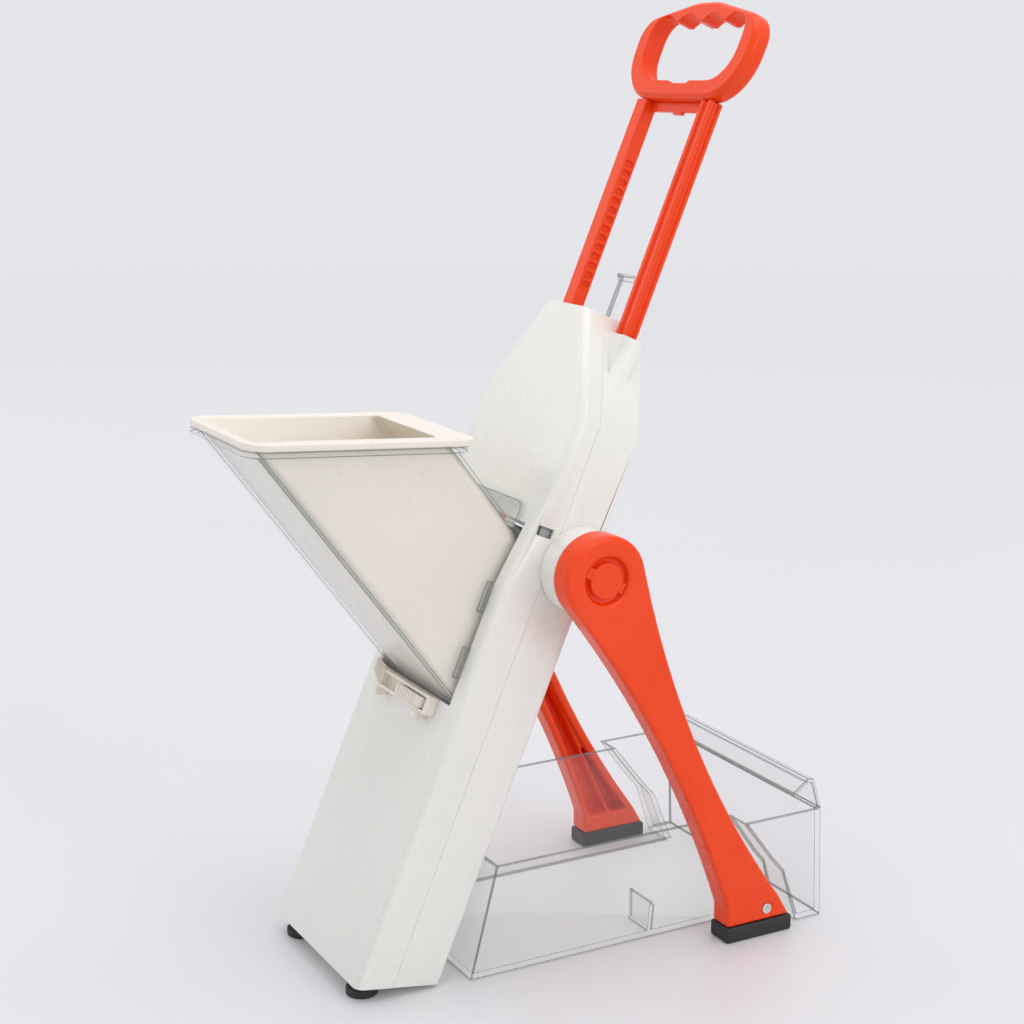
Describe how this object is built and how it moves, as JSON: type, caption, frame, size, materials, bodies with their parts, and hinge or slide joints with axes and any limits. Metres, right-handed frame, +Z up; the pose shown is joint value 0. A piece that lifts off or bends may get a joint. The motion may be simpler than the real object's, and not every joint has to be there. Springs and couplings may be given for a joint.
{
  "type": "mandoline slicer",
  "caption": "Upright push mandoline: leaning hollow body with a slanted clear feed chute and pusher, a grip handle on sliding rods, folding legs and a clear catch tray.",
  "frame": {"origin": "on the ground, in the middle of the overall footprint box", "axes": "+X to the object's left-right width, +Y from the feed chute towards the catch tray, +Z up"},
  "size_m": [0.161, 0.3053, 0.4753],
  "materials": {
    "body_white": "warm white moulded ABS, soft gloss",
    "orange": "orange-red moulded plastic, satin",
    "clear": "clear moulded plastic, polished",
    "cream": "cream moulded plastic, satin",
    "grey_plastic": "grey moulded plastic, fine texture",
    "steel": "ground stainless steel",
    "chrome_screw": "bright plated screw",
    "black_rubber": "matt black rubber"
  },
  "bodies": {
    "body": {"front_shell": "body_white", "rear_shell": "body_white", "shell_screws": "chrome_screw", "body_feet": "black_rubber", "latch_bracket": "cream", "lock_tab_pin": "steel", "leg_pivots": "steel", "hub_rings": "body_white", "spring_pegs": "steel", "return_springs": "steel"},
    "carriage": {"grip_handle": "orange", "left_rod": "orange", "right_rod": "orange", "handle_web": "orange", "blade_carriage": "grey_plastic", "main_blade": "steel", "blade_screws": "chrome_screw"},
    "platform": {"thickness_platform": "body_white"},
    "dial": {"thickness_dial": "orange"},
    "comb": {"comb_slider": "grey_plastic", "julienne_comb": "steel"},
    "chute": {"feed_chute": "clear"},
    "pusher": {"food_pusher": "cream"},
    "latch": {"latch_button": "cream"},
    "lock": {"lock_tab": "clear"},
    "right_leg_body": {"right_leg": "orange", "right_hub_cap": "orange", "right_shoe_screw": "chrome_screw", "right_shoe": "black_rubber"},
    "left_leg_body": {"left_leg": "orange", "left_hub_cap": "orange", "left_shoe_screw": "chrome_screw", "left_shoe": "black_rubber"},
    "tray": {"catch_tray": "clear"}
  },
  "joints": [
    {"name": "handle_push", "type": "slide", "parent": "body", "child": "carriage", "axis": [0, -0.3939, -0.9191], "range_m": [0, 0.105], "stiffness_N_per_m": 60, "springref_m": -0.1, "deforming": ["return_springs"]},
    {"name": "dial_turn", "type": "hinge", "parent": "carriage", "child": "dial", "pos_m": [0, -0.01265, 0.16301], "axis": [0, 0.9191, -0.3939], "range_deg": [-120, 150]},
    {"name": "platform_slide", "type": "slide", "parent": "carriage", "child": "platform", "axis": [0, 0.9191, -0.3939], "range_m": [-0.0024, 0.003]},
    {"name": "comb_slide", "type": "slide", "parent": "carriage", "child": "comb", "axis": [0, -0.9191, 0.3939], "range_m": [0, 0.0035]},
    {"name": "chute_pull", "type": "slide", "parent": "body", "child": "chute", "axis": [0, -0.599, 0.8007], "range_m": [0, 0.02]},
    {"name": "pusher_slide", "type": "slide", "parent": "chute", "child": "pusher", "axis": [0, -0.599, 0.8007], "range_m": [0, 0.12]},
    {"name": "latch_slide", "type": "slide", "parent": "body", "child": "latch", "axis": [-1, 0, 0], "range_m": [0, 0.012]},
    {"name": "lock_swing", "type": "hinge", "parent": "body", "child": "lock", "pos_m": [0, 0.05948, 0.30618], "axis": [1, 0, 0], "range_deg": [0, 4]},
    {"name": "right_leg_fold", "type": "hinge", "parent": "body", "child": "right_leg_body", "pos_m": [0.0726, 0.01271, 0.20393], "axis": [1, 0, 0], "range_deg": [-48.7, 0]},
    {"name": "left_leg_fold", "type": "hinge", "parent": "body", "child": "left_leg_body", "pos_m": [-0.0726, 0.01271, 0.20393], "axis": [1, 0, 0], "range_deg": [-48.7, 0]},
    {"name": "tray_slide", "type": "slide", "parent": "body", "child": "tray", "axis": [0, 1, 0], "range_m": [0, 0.16]}
  ],
  "couplings": [
    {"joint": "dial_turn", "follows": "platform_slide", "rad_per_m": 872.6}
  ]
}
